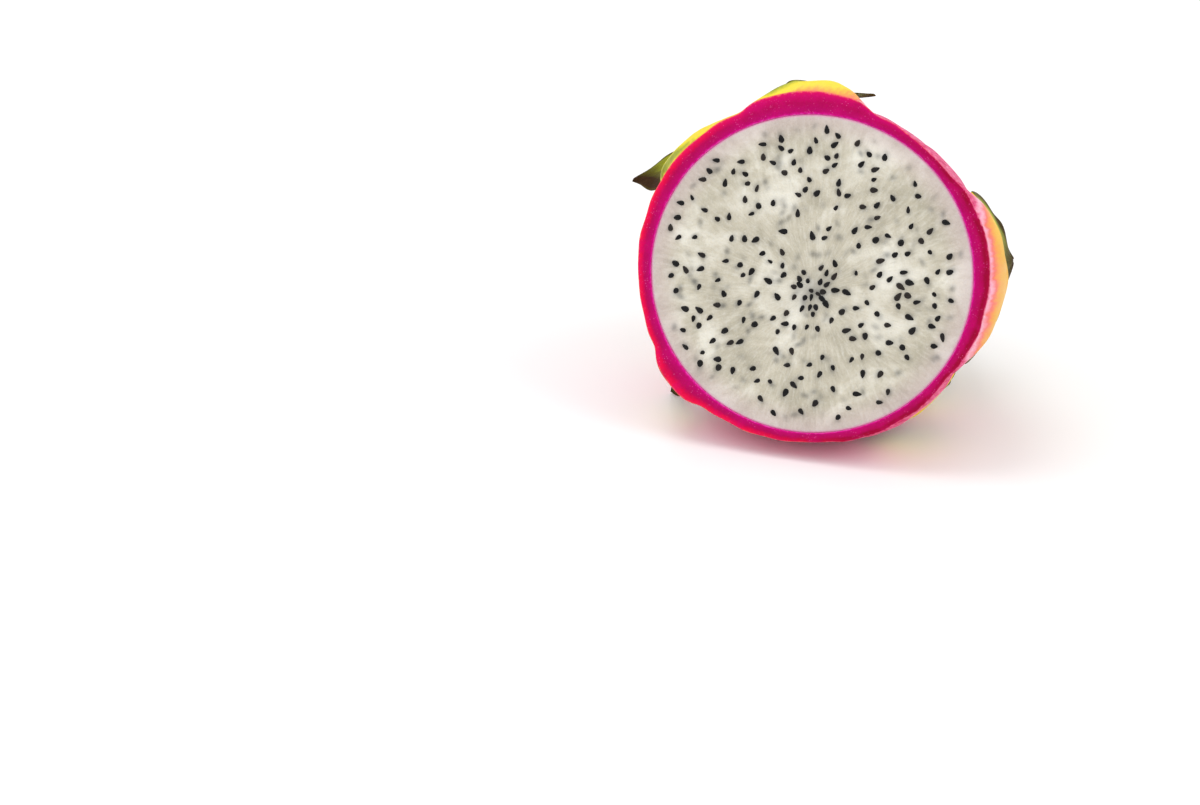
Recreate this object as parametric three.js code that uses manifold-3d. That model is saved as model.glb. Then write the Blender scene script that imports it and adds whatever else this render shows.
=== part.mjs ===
// Half of a white-fleshed dragon fruit, cut crosswise, standing on its rind with the cut face
// leaning back. Millimetres and degrees, +Z up, the ground at z = 0.
// The fruit has its own frame: x across the cut, z up in the cut, y along the axis away from the
// cut. The group at the end tilts that frame back and stands it on the ground.

import * as THREE from "three";
import { mergeVertices } from "three/addons/utils/BufferGeometryUtils.js";
import Module from "manifold-3d";

const { clamp, degToRad, lerp, smoothstep } = THREE.MathUtils;

// Driving dimensions of the fruit.
const FLESH_HALF_WIDTH = 40;
const FLESH_HALF_HEIGHT = 38.5;
const FLESH_DEPTH = 47;
const RIND = 3.3; // between the bracts
const RIND_EXTRA = 1; // more on the thick side, and less across from it
const RIND_THICK_SIDE = 160; // where that is, in degrees round the axis
const BODY_DEPTH = 57;
const SHOULDER = 0.84; // power of the cosine: under 1 makes the side fuller than an ellipse
const END_POWER = 0.96; // power of the sine: under 1 makes the far end blunter
const LOBES = 0.006; // three broad swells round the axis, as a share of the radius
const WINDING = 0.004; // five more that wind along it
const SCAR_DEPTH = 4.5;
const SCAR_SHARE = 0.24; // radius of the flower scar, as a share of the half width
const LAYER_GAP = 0.3; // between flesh and rind

// How it stands.
const FACE_TILT = 20;
const CENTRE_HEIGHT = 43.5; // of the middle of the cut face
const REST_SETBACK = 20; // of the rest spot's middle behind the middle of the cut face

// The corners of the flat spot it stands on, as x and y on the ground. With three it doesn't rock.
// Round the spot the rind stands off the ground by a step, and by a share of the way outwards. For
// a blade that has a limit, so that it isn't pressed through the rind.
const REST_CORNERS = [[0, -13.9], [-9, 4.8], [5.7, 8.2]];
const REST_TOLERANCE = 0.15;
const REST_STEP = 0.1;
const REST_RISE = 0.1;
const BLADE_REST_LIMIT = 0.25;

// The mesh grid: columns round the axis, rings along it.
const COLUMNS = 72;
const RINGS = 22;
const CUP_RINGS = 9;
const BLADE_ROWS = 7;
const BLADE_STEPS = 4; // in which a blade's middle line is followed, for each of its rows

// Shares of the meridian: over which a slope is read, the last one short of the axis, and where
// the rind is looked for under a blade.
const SLOPE_STEP = 0.002;
const BEFORE_AXIS = 0.999;
const SEARCH_START = 0.02;
const SEARCH_END = 0.97;
const SEARCH_STEP = 0.01;

// The bracts, by where they grow. angle is round the axis, from +x towards +z. row is the ring
// of the axil. spread is the half width of the attachment, in columns. rise is the height of the
// swollen base, and reach how far it runs from the axil towards the cut. There it is wider by
// widen, and turned by lean. lift turns the blade outwards by its tip, and a small curl does so
// early. hug is how far it follows the rind. skew bends the tip sideways, in mm. fold raises both
// margins, and flare one of them, in mm. taper is how late the blade narrows.
const BRACT = {
  spread: 4,
  rise: 2.5,
  reach: 20,
  widen: 0.5,
  lean: 0,
  length: 22,
  curl: 1.3,
  hug: 0.8,
  skew: 0,
  fold: 0.3,
  flare: 0,
  twist: 0,
  taper: 0.9,
};
const TOP_BRACT = { ...BRACT, angle: 100, row: 3, spread: 3, rise: 6, reach: 22, widen: 0.9, lean: -5 };
const LEFT_BRACT = { ...BRACT, angle: 150, row: 2, spread: 2, rise: 4, reach: 10, widen: 1.2, lean: -26 };
const LOW_BRACT = { ...BRACT, angle: 225, row: 2, spread: 2, rise: 3, reach: 22 };
const UNDER_BRACT = { ...BRACT, angle: 310, row: 3, rise: 1.6, reach: 26 };
const FLANK_BRACT = { ...BRACT, angle: 5, row: 4, spread: 6, rise: 4, reach: 30 };
const CUT_ROW = [
  { ...TOP_BRACT, length: 19, lift: 26, skew: -12, fold: 0, flare: 7 },
  { ...LEFT_BRACT, length: 23, lift: 66, curl: 0.8, hug: 0.2, skew: 13, taper: 2 },
  { ...LOW_BRACT, length: 21, lift: 64, curl: 0.8, hug: 0.2 },
  { ...UNDER_BRACT, length: 17, lift: 16, hug: 1, skew: 2, fold: 0 },
  { ...FLANK_BRACT, length: 21, lift: 36, curl: 1, skew: 4, fold: -0.8, taper: 1.1 },
];
const SIDE_ROW = { ...BRACT, row: 9, length: 25, lift: 44, hug: 0.75, fold: 0.4 };
const SIDE_ANGLES = [50, 120, 180, 225, 310, 355];
const SHOULDER_ROW = { ...BRACT, row: 14, rise: 2.1, length: 24, lift: 58, curl: 0.9, hug: 0.5, fold: 0.5 };
const SHOULDER_ANGLES = [20, 80, 150, 210, 270, 330];
const CROWN_ROW = { ...BRACT, row: 18, rise: 1.5, lift: 78, curl: 0.35, hug: 0.1 };
const CROWN_ANGLES = [5, 60, 120, 180, 235, 305];

// How bracts of a row differ: least and greatest share of its length and lift, and the whole
// range of skew and twist.
const LENGTH_SHARES = [0.88, 1.12];
const LIFT_SHARES = [0.9, 1.1];
const SKEW_RANGE = 6;
const TWIST_RANGE = 30;

const AXIL_HEIGHT = 0.3;
const LIP_RING = 0.25; // how far behind the axil the lip under a blade lies, in rings
const BLADE_EDGE = 0.7; // thickness of the margins
const BLADE_MIDDLE = 1; // thickness of the middle, near the tip
const BLADE_CLEARANCE = 0.5; // between a blade and the rind under it
const BLADE_POINT = 1.15; // power of the cosine: over 1 draws the tip out
const TIP_HALF_WIDTH = 0.6;
const LAST_FOLLOWED = 0.93; // share of the meridian past which a blade follows the rind no more

// The seeds that show in the cut.
const SEED_COUNT = 200;
const CORE_SEED_COUNT = 22;
const SEED_LENGTH = 2.5;
const SEED_WIDTH = 1.45;
const SEED_PROUD = 0.4;
const SEED_SUNK = 0.7;
const SEED_WAIST = 0.12; // depth of its widest part
const SEED_POINT = 0.45; // how much narrower it is towards its tip
const SEED_CREST = 0.15; // how far its highest point lies behind its middle, as a share of its length
const SEED_SIDES = 6;
const SEED_LEAST_SIZE = 0.72;
const SEED_SIZE_RANGE = 0.42;
const SEED_SPACING = 2.3;
const CORE_SPACING = 1.45;
const SEED_SCATTER = 2.6; // how far they turn from pointing away from the core, from side to side
const CORE_SCATTER = 0.8;
const CORE_X = 1.5;
const CORE_Z = -4;
const CORE_SIZE = 6.5;
const SEED_FIELD = 0.93; // seeds keep inside this share of the flesh

const random = (() => {
  let state = 20817;
  return () => {
    state = (Math.imul(state, 1664525) + 1013904223) >>> 0;
    return state / 4294967296;
  };
})();

// The ground's directions in the fruit's frame.
const UP = new THREE.Vector3(0, -Math.sin(degToRad(FACE_TILT)), Math.cos(degToRad(FACE_TILT)));
const BACK = new THREE.Vector3(0, Math.cos(degToRad(FACE_TILT)), Math.sin(degToRad(FACE_TILT)));

// How far a place on the ground is outside the rest spot, and 0 on the spot. The corners go round
// clockwise, so the outside is to the left of each side.
function outsideSpot(x, y) {
  const distances = REST_CORNERS.map(([startX, startY], k) => {
    const [endX, endY] = REST_CORNERS[(k + 1) % REST_CORNERS.length];
    const alongX = endX - startX;
    const alongY = endY - startY;
    return (alongX * (y - startY) - alongY * (x - startX)) / Math.hypot(alongX, alongY);
  });
  return Math.max(0, ...distances);
}

// How far a point stands over the lowest that it may be: the ground, or the step round the spot.
function heightOver(point, limit) {
  const away = outsideSpot(point.x, point.dot(BACK) - REST_SETBACK);
  const lowest = away > REST_TOLERANCE ? Math.min(REST_STEP + REST_RISE * away, limit) : 0;
  return point.dot(UP) + CENTRE_HEIGHT - lowest;
}

// A point that is too low is pressed up.
function settled(point, limit) {
  const height = heightOver(point, limit);
  return height < 0 ? point.addScaledVector(UP, -height) : point;
}

// Share of the half width, and depth behind the cut, t = 0 at the cut and 1 on the axis.
function profile(t, depth, scarDepth) {
  const turn = (t * Math.PI) / 2;
  const radius = t < 1 ? Math.cos(turn) ** SHOULDER : 0;
  const dip = scarDepth * Math.exp(-((radius / SCAR_SHARE) ** 4));
  return { radius, depth: depth * Math.sin(turn) ** END_POWER - dip };
}

// The rind's outer surface before the bracts' swollen bases.
function rindPoint(angle, t) {
  const { radius, depth } = profile(t, BODY_DEPTH, SCAR_DEPTH);
  const uneven = 1 + LOBES * Math.sin(3 * angle + 1.1) + WINDING * Math.sin(5 * angle + 7 * t);
  const rind = RIND + RIND_EXTRA * Math.cos(angle - degToRad(RIND_THICK_SIDE));
  return new THREE.Vector3(
    (FLESH_HALF_WIDTH + rind) * radius * uneven * Math.cos(angle),
    depth,
    (FLESH_HALF_HEIGHT + rind) * radius * uneven * Math.sin(angle),
  );
}

// The outward normal of the rind, in the plane of its meridian.
function rindNormal(angle, t) {
  const ahead = rindPoint(angle, Math.min(t + SLOPE_STEP, BEFORE_AXIS));
  const along = ahead.sub(rindPoint(angle, Math.max(t - SLOPE_STEP, 0)));
  const outward = new THREE.Vector3(Math.cos(angle), 0, Math.sin(angle));
  const slope = Math.atan2(-along.dot(outward), along.y);
  return outward.multiplyScalar(Math.cos(slope)).setY(Math.sin(slope));
}

// Length along a mean meridian from the cut to each ring.
const arcAt = [0];
for (let ring = 1; ring <= RINGS; ring += 1) {
  const here = rindPoint(0, ring / RINGS);
  const before = rindPoint(0, (ring - 1) / RINGS);
  arcAt.push(arcAt[ring - 1] + here.distanceTo(before));
}

// A row of like bracts, each a little different.
function grown(row, angles) {
  return angles.map((angle) => ({
    ...row,
    angle,
    length: row.length * lerp(...LENGTH_SHARES, random()),
    lift: row.lift * lerp(...LIFT_SHARES, random()),
    skew: SKEW_RANGE * (random() - 0.5),
    twist: TWIST_RANGE * (random() - 0.5),
  }));
}

const bracts = [
  ...CUT_ROW,
  ...grown(SIDE_ROW, SIDE_ANGLES),
  ...grown(SHOULDER_ROW, SHOULDER_ANGLES),
  ...grown(CROWN_ROW, CROWN_ANGLES),
].map((bract) => {
  const column = Math.round((bract.angle / 360) * COLUMNS) % COLUMNS;
  return { ...bract, column, angle: (2 * Math.PI * column) / COLUMNS };
});

// Height of the swollen bases over the rind. A base rises from the cut side up to its own axil.
function swelling(angle, ring) {
  const whole = Math.min(Math.floor(ring), RINGS - 1);
  const arc = lerp(arcAt[whole], arcAt[whole + 1], ring - whole);
  let height = 0;
  for (const bract of bracts) {
    const short = arcAt[bract.row] - arc;
    if (short < 0 || short > bract.reach) continue;
    const middle = bract.angle + (degToRad(bract.lean) * short) / bract.reach;
    const turn = Math.atan2(Math.sin(angle - middle), Math.cos(angle - middle));
    const halfTurn = ((2 * Math.PI * bract.spread) / COLUMNS) * (1 + (bract.widen * short) / bract.reach);
    const across = clamp(1 - (turn / halfTurn) ** 4, 0, 1);
    height = Math.max(height, bract.rise * across * (1 - smoothstep(short, 0, bract.reach)));
  }
  return height;
}

function outerPoint(column, ring, height) {
  const angle = (2 * Math.PI * column) / COLUMNS;
  const t = ring / RINGS;
  const normal = rindNormal(angle, t);
  if (ring === 0) normal.setY(0).normalize();
  const point = rindPoint(angle, t).addScaledVector(normal, height ?? swelling(angle, ring));
  return settled(point, Infinity);
}

// A point of a blade that would touch the rind is moved out from it.
function cleared(point) {
  const angle = Math.atan2(point.z / (FLESH_HALF_HEIGHT + RIND), point.x / (FLESH_HALF_WIDTH + RIND));
  let nearest = { away: Infinity };
  for (let t = SEARCH_START; t < SEARCH_END; t += SEARCH_STEP) {
    const away = rindPoint(angle, t).distanceTo(point);
    if (away < nearest.away) nearest = { away, t };
  }
  const normal = rindNormal(angle, nearest.t);
  const height = point.clone().sub(rindPoint(angle, nearest.t)).dot(normal);
  const wanted = swelling(angle, nearest.t * RINGS) + BLADE_CLEARANCE;
  return height < wanted ? point.addScaledVector(normal, wanted - height) : point;
}

// A closed surface as a list of points and of faces with three or four corners.
class Surface {
  points = [];
  faces = [];

  add(point) {
    this.points.push(point);
    return this.points.length - 1;
  }

  face(...corners) {
    const kept = corners.filter((corner, k) => corner !== corners[(k + 1) % corners.length]);
    if (kept.length >= 3) this.faces.push(kept);
  }

  // Quads between two rows of points.
  strip(first, second, closed) {
    const count = closed ? first.length : first.length - 1;
    for (let k = 0; k < count; k += 1) {
      const next = (k + 1) % first.length;
      this.face(first[k], first[next], second[next], second[k]);
    }
  }

  // The same quads seen from below, split along the same diagonals.
  underside(first, second) {
    for (let k = 0; k < first.length - 1; k += 1) {
      this.face(first[k], second[k], second[k + 1], first[k + 1]);
    }
  }

  geometry() {
    const fan = (f) => f.slice(2).flatMap((_, k) => [f[0], f[k + 2], f[k + 1]]);
    const numbers = this.points.flatMap((point) => point.toArray());
    const geometry = new THREE.BufferGeometry();
    geometry.setAttribute("position", new THREE.Float32BufferAttribute(numbers, 3));
    geometry.setIndex(this.faces.flatMap(fan));
    geometry.computeVertexNormals();
    return geometry;
  }
}

// The blade's middle line, in the plane of the meridian, as places with their directions.
function bladeLine(bract) {
  const outward = new THREE.Vector3(Math.cos(bract.angle), 0, Math.sin(bract.angle));
  const start = bract.row / RINGS;
  const place = rindPoint(bract.angle, start).addScaledVector(
    rindNormal(bract.angle, start),
    (bract.rise + AXIL_HEIGHT) / 2,
  );
  const steps = BLADE_ROWS * BLADE_STEPS;
  const line = [];
  for (let k = 0; k <= steps; k += 1) {
    const u = k / steps;
    const followed = start + (bract.hug * u * bract.length) / arcAt[RINGS];
    const normal = rindNormal(bract.angle, Math.min(followed, LAST_FOLLOWED));
    const slope = Math.atan2(normal.y, normal.dot(outward)) - degToRad(bract.lift) * u ** bract.curl;
    const along = outward.clone().multiplyScalar(-Math.sin(slope)).setY(Math.cos(slope));
    const away = outward.clone().multiplyScalar(Math.cos(slope)).setY(Math.sin(slope));
    if (k % BLADE_STEPS === 0) line.push({ place: place.clone(), along, away });
    place.addScaledVector(along, bract.length / steps);
  }
  return line;
}

// Outer and inner rows of one blade, from the row after the axil to the tip.
function bladeRows(bract) {
  const sideways = new THREE.Vector3(-Math.sin(bract.angle), 0, Math.cos(bract.angle));
  const base = rindPoint(bract.angle, bract.row / RINGS);
  const radius = Math.hypot(base.x, base.z);
  const halfWidth = (radius * 2 * Math.PI * bract.spread) / COLUMNS;
  return bladeLine(bract).slice(1).map(({ place, along, away }, k) => {
    const u = (k + 1) / BLADE_ROWS;
    const fullness = Math.cos((Math.PI / 2) * u ** bract.taper) ** BLADE_POINT;
    const width = lerp(TIP_HALF_WIDTH, halfWidth, fullness);
    const turn = degToRad(bract.twist) * u * u;
    const across = sideways.clone().applyAxisAngle(along, turn);
    const normal = away.clone().applyAxisAngle(along, turn);
    const middle = place.clone().addScaledVector(sideways, bract.skew * u * u);
    const rows = { outer: [], inner: [] };
    for (let v = -bract.spread; v <= bract.spread; v += 1) {
      const share = v / bract.spread;
      const aside = share * width;
      const sag = (lerp(-1, bract.fold, smoothstep(u, 0, 0.8)) * aside * aside) / (2 * radius);
      const flare = bract.flare * smoothstep(aside / halfWidth, 0, 1) * smoothstep(u, 0, 0.4);
      const tuck = (1 - smoothstep(u, 0, 0.6)) * share * share * (bract.rise / 2);
      const centre = middle.clone().addScaledVector(across, aside);
      centre.addScaledVector(normal, sag + flare - tuck);
      const thick = lerp(bract.rise, BLADE_MIDDLE, smoothstep(u, 0, 0.7));
      const half = lerp(thick, BLADE_EDGE, Math.abs(share) ** 1.5) / 2;
      const inner = cleared(centre.addScaledVector(normal, -half));
      const low = heightOver(inner, BLADE_REST_LIMIT) - 2 * half;
      if (low < 0) inner.addScaledVector(UP, -low);
      rows.inner.push(inner);
      const outer = inner.clone().addScaledVector(normal, 2 * half);
      rows.outer.push(settled(outer, BLADE_REST_LIMIT));
    }
    return rows;
  });
}

// The rind is one closed surface: the cup inside, the cut rim, and the outside to the flower
// scar. At each axil the outside is slit, and the blade is a pocket sewn into the slit.
function rindSurface() {
  const surface = new Surface();
  const cupPoint = (column, t) => {
    const angle = (2 * Math.PI * column) / COLUMNS;
    const { radius, depth } = profile(t, FLESH_DEPTH + LAYER_GAP, 0);
    return new THREE.Vector3(
      (FLESH_HALF_WIDTH + LAYER_GAP) * radius * Math.cos(angle),
      depth,
      (FLESH_HALF_HEIGHT + LAYER_GAP) * radius * Math.sin(angle),
    );
  };
  const columns = Array.from({ length: COLUMNS }, (_, column) => column);

  const cupPole = surface.add(cupPoint(0, 1));
  let above = columns.map(() => cupPole);
  for (let ring = CUP_RINGS - 1; ring >= 0; ring -= 1) {
    const row = columns.map((column) => surface.add(cupPoint(column, ring / CUP_RINGS)));
    surface.strip(above, row, true);
    above = row;
  }

  for (let ring = 0; ring < RINGS; ring += 1) {
    const row = columns.map((column) => surface.add(outerPoint(column, ring)));
    surface.strip(above, row, true);
    above = [...row];
    for (const bract of bracts.filter((each) => each.row === ring)) {
      const slit = Array.from(
        { length: 2 * bract.spread + 1 },
        (_, k) => (bract.column - bract.spread + k + COLUMNS) % COLUMNS,
      );
      const upperLip = slit.map((column) => row[column]);
      const lowerLip = slit.map((column, k) => {
        const atEnd = k === 0 || k === slit.length - 1;
        return atEnd ? row[column] : surface.add(outerPoint(column, ring + LIP_RING, AXIL_HEIGHT));
      });
      slit.forEach((column, k) => {
        above[column] = lowerLip[k];
      });
      let outer = upperLip;
      let inner = lowerLip;
      for (const rows of bladeRows(bract)) {
        const nextOuter = rows.outer.map((point) => surface.add(point));
        const nextInner = rows.inner.map((point) => surface.add(point));
        const end = outer.length - 1;
        surface.strip(outer, nextOuter, false);
        surface.underside(inner, nextInner);
        surface.face(outer[0], nextOuter[0], nextInner[0], inner[0]);
        surface.face(nextOuter[end], outer[end], inner[end], nextInner[end]);
        outer = nextOuter;
        inner = nextInner;
      }
      surface.strip(outer, inner, false);
    }
  }
  const scarPole = surface.add(rindPoint(0, 1));
  surface.strip(above, columns.map(() => scarPole), true);
  return surface;
}

// The flesh is a domed plug with a flat cut face.
function fleshSurface() {
  const surface = new Surface();
  const columns = Array.from({ length: COLUMNS }, (_, column) => column);
  const facePole = surface.add(new THREE.Vector3(0, 0, 0));
  let above = columns.map(() => facePole);
  for (let ring = 0; ring < CUP_RINGS; ring += 1) {
    const { radius, depth } = profile(ring / CUP_RINGS, FLESH_DEPTH, 0);
    const row = columns.map((column) => {
      const angle = (2 * Math.PI * column) / COLUMNS;
      return surface.add(
        new THREE.Vector3(
          FLESH_HALF_WIDTH * radius * Math.cos(angle),
          depth,
          FLESH_HALF_HEIGHT * radius * Math.sin(angle),
        ),
      );
    });
    surface.strip(above, row, true);
    above = row;
  }
  const bottom = surface.add(new THREE.Vector3(0, FLESH_DEPTH, 0));
  surface.strip(above, columns.map(() => bottom), true);
  return surface;
}

// Places for the seeds: scattered evenly over the face, and crowded round the core. Each points
// roughly away from the core.
function seedPlaces() {
  const places = [];
  const tryPlace = (x, z, spacing, scatter) => {
    const clear = places.every((other) => Math.hypot(other.x - x, other.z - z) > spacing);
    const inside = Math.hypot(x / FLESH_HALF_WIDTH, z / FLESH_HALF_HEIGHT) < SEED_FIELD;
    const turn = Math.atan2(z - CORE_Z, x - CORE_X) + scatter * (random() - 0.5);
    const size = SEED_LEAST_SIZE + SEED_SIZE_RANGE * random();
    if (clear && inside) places.push({ x, z, turn, size });
  };
  while (places.length < CORE_SEED_COUNT) {
    const reach = CORE_SIZE * random();
    const way = 2 * Math.PI * random();
    const x = CORE_X + reach * Math.cos(way);
    const z = CORE_Z + reach * Math.sin(way);
    tryPlace(x, z, CORE_SPACING, CORE_SCATTER);
  }
  while (places.length < CORE_SEED_COUNT + SEED_COUNT) {
    const x = FLESH_HALF_WIDTH * (2 * random() - 1);
    const z = FLESH_HALF_HEIGHT * (2 * random() - 1);
    tryPlace(x, z, SEED_SPACING, SEED_SCATTER);
  }
  return places;
}

// One teardrop seed, standing a little proud of the cut, its blunt end towards the core.
function seedGeometry({ x, z, turn, size }) {
  const surface = new Surface();
  const local = (along, across, y) =>
    new THREE.Vector3(
      x + size * (along * Math.cos(turn) - across * Math.sin(turn)),
      y,
      z + size * (along * Math.sin(turn) + across * Math.cos(turn)),
    );
  const top = surface.add(local(-SEED_CREST * SEED_LENGTH, 0, -SEED_PROUD));
  const bottom = surface.add(local(0, 0, SEED_SUNK));
  const outline = Array.from({ length: SEED_SIDES }, (_, k) => {
    const way = (2 * Math.PI * k) / SEED_SIDES;
    const halfWidth = (SEED_WIDTH / 2) * (1 - SEED_POINT * Math.cos(way));
    return surface.add(
      local((SEED_LENGTH / 2) * Math.cos(way), halfWidth * Math.sin(way), SEED_WAIST),
    );
  });
  surface.strip(outline.map(() => top), outline, true);
  surface.strip(outline, outline.map(() => bottom), true);
  return surface.geometry();
}

const wasm = await Module();
wasm.setup();

function toSolid(geometry) {
  const bare = geometry.clone();
  bare.deleteAttribute("normal");
  const merged = mergeVertices(bare, 1e-4);
  return new wasm.Manifold(
    new wasm.Mesh({
      numProp: 3,
      vertProperties: merged.attributes.position.array,
      triVerts: new Uint32Array(merged.index.array),
    }),
  );
}

function toGeometry(solid) {
  const { vertProperties, triVerts } = solid.getMesh();
  const geometry = new THREE.BufferGeometry();
  geometry.setAttribute("position", new THREE.BufferAttribute(vertProperties, 3));
  geometry.setIndex(new THREE.BufferAttribute(triVerts, 1));
  geometry.computeVertexNormals();
  return geometry;
}

function fleshWithSeeds() {
  const seeds = seedPlaces().map((place) => toSolid(seedGeometry(place)));
  return toGeometry(wasm.Manifold.union([toSolid(fleshSurface().geometry()), ...seeds]));
}

const rindMaterial = new THREE.MeshStandardMaterial({ color: 0xc21663, roughness: 0.55, metalness: 0 });
const fleshMaterial = new THREE.MeshStandardMaterial({ color: 0xe4e4da, roughness: 0.35, metalness: 0 });

const peel = new THREE.Mesh(rindSurface().geometry(), rindMaterial);
peel.name = "peel";
const flesh = new THREE.Mesh(fleshWithSeeds(), fleshMaterial);
flesh.name = "flesh";

const fruit = new THREE.Group();
fruit.add(peel, flesh);
fruit.rotation.x = -degToRad(FACE_TILT);
fruit.position.set(0, -REST_SETBACK, CENTRE_HEIGHT);

const root = new THREE.Group();
root.add(fruit);
export default root;
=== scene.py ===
"""Half of a white-fleshed dragon fruit, cut crosswise, standing on a pale floor.

The fruit is made in its own frame, in millimetres: x across the cut, z up in the cut and y along
the axis away from the cut. to_world tilts that frame back, stands it on the floor and gives metres.
Angles round the axis run from +x towards +z. A place along the rind is its ring, from 0 at the cut
to RINGS at the flower scar.
"""

import math

import bpy
import numpy as np
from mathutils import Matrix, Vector

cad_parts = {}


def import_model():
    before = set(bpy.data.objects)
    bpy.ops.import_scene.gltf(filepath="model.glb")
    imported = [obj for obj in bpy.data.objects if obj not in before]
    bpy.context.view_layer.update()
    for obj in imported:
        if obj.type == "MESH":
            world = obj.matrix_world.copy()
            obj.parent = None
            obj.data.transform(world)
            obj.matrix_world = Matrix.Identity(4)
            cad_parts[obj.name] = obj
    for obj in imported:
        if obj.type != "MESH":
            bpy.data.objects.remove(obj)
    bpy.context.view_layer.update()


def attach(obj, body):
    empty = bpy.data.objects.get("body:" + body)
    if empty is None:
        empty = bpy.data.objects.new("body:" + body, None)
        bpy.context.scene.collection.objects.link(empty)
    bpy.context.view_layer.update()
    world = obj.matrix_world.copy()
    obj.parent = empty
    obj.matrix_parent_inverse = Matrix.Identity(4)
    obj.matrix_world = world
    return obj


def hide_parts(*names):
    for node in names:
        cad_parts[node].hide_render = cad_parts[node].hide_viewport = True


# Driving dimensions of the fruit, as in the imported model.
FLESH_HALF_WIDTH = 40
FLESH_HALF_HEIGHT = 38.5
FLESH_DEPTH = 47
RIND = 3.3
RIND_EXTRA = 1  # more on the thick side, and less across from it
RIND_THICK_SIDE = math.radians(160)
BODY_DEPTH = 57
SHOULDER = 0.84  # power of the cosine: under 1 makes the side fuller than an ellipse
END_POWER = 0.96  # power of the sine: under 1 makes the far end blunter
LOBES = 0.006  # three broad swells round the axis, as a share of the radius
WINDING = 0.004  # five more that wind along it
SCAR_DEPTH = 4.5
SCAR_SHARE = 0.24
LAYER_GAP = 0.3  # between flesh and rind

# Shares of the meridian: over which a slope is read, the last one short of the axis, and where
# the rind is looked for under a blade.
SLOPE_STEP = 0.002
BEFORE_AXIS = 0.999
SEARCH = np.arange(0.02, 0.97, 0.01)

# How it stands.
FACE_TILT = math.radians(20)
CENTRE_HEIGHT = 43.5
REST_SETBACK = 20

# The rings and columns by which the bracts are placed, and how many times finer the mesh is.
COLUMNS = 72
RINGS = 22
CUP_RINGS = 9
BLADE_ROWS = 7
BLADE_STEPS = 4  # in which a blade's middle line is followed, for each of those rows
FINE = 2

# The bracts. row is the ring of the axil, spread the half width in columns, rise the height of the
# swollen base and reach its length, widen how much wider it grows towards the cut and lean how many
# degrees it turns there. lift turns the blade outwards by its tip, and a small curl does so early.
# hug is how far it follows the rind, skew bends the tip sideways, fold raises both margins and flare
# one of them, in mm. taper is how late the blade narrows.
BRACT = dict(
    spread=4, rise=2.5, reach=20, widen=0.5, lean=0, length=22, curl=1.3, hug=0.8, skew=0, fold=0.3, flare=0,
    twist=0, taper=0.9,
)
# Their colours. early is how soon the base turns yellow towards its axil, soonest at 0, and wing how
# olive it is on one side. ripe is how olive the blade is where it starts, and dry how late it turns
# brown. side turns one margin darker and browner, as painted shade on a blade's folded lower side.
BRACT.update(early=4.5, wing=0, ripe=0.12, dry=1, side=0)
TOP_BRACT = dict(BRACT, angle=100, row=3, spread=3, rise=6, reach=22, widen=0.9, lean=-5)
LEFT_BRACT = dict(BRACT, angle=150, row=2, spread=2, rise=4, reach=10, widen=1.2, lean=-26)
LOW_BRACT = dict(BRACT, angle=225, row=2, spread=2, rise=3, reach=22)
UNDER_BRACT = dict(BRACT, angle=310, row=3, rise=1.6, reach=26)
FLANK_BRACT = dict(BRACT, angle=5, row=4, spread=6, rise=4, reach=30)
TOP_BRACT.update(early=0.45, wing=0.7, ripe=0, dry=1.5)
# The left blade's side paints shade along its folded lower margin.
LEFT_BRACT.update(early=0.08, wing=0.6, ripe=0.2, dry=3, side=0.35)
FLANK_BRACT.update(early=1, ripe=-0.3, dry=0.7)
CUT_ROW = [
    dict(TOP_BRACT, length=19, lift=26, skew=-12, fold=0, flare=7),
    dict(LEFT_BRACT, length=23, lift=66, curl=0.8, hug=0.2, skew=13, taper=2),
    dict(LOW_BRACT, length=21, lift=64, curl=0.8, hug=0.2),
    dict(UNDER_BRACT, length=17, lift=16, hug=1, skew=2, fold=0),
    dict(FLANK_BRACT, length=21, lift=36, curl=1, skew=4, fold=-0.8, taper=1.1),
]
SIDE_ROW = dict(BRACT, row=9, length=25, lift=44, hug=0.75, fold=0.4)
SIDE_ANGLES = [50, 120, 180, 225, 310, 355]
SHOULDER_ROW = dict(BRACT, row=14, rise=2.1, length=24, lift=58, curl=0.9, hug=0.5, fold=0.5)
SHOULDER_ANGLES = [20, 80, 150, 210, 270, 330]
CROWN_ROW = dict(BRACT, row=18, rise=1.5, lift=78, curl=0.35, hug=0.1)
CROWN_ANGLES = [5, 60, 120, 180, 235, 305]

# How bracts of a row differ: least and greatest share of its length and lift, and the whole range
# of skew and twist.
LENGTH_SHARES = (0.88, 1.12)
LIFT_SHARES = (0.9, 1.1)
SKEW_RANGE = 6
TWIST_RANGE = 30

AXIL_HEIGHT = 0.3
LIP_RING = 0.25  # how far behind the axil the lip under a blade lies, in rings
BLADE_EDGE = 0.45  # thickness of the margins
BLADE_MIDDLE = 0.9  # thickness of the middle, near the tip
BLADE_CLEARANCE = 0.5  # between a blade and the rind under it
BLADE_POINT = 1.15  # power of the cosine: over 1 draws the tip out
TIP_HALF_WIDTH = 0.35
LAST_FOLLOWED = 0.93  # share of the meridian past which a blade follows the rind no more

# Fine detail of the blades: how far the margins are ragged, as a share of the width, how high
# they wave, and the midrib's height and its width as a share of the blade's.
RAGGED = 0.05
MARGIN_WAVE = 0.45
MIDRIB_HEIGHT = 0.22
MIDRIB_WIDTH = 0.13

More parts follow.
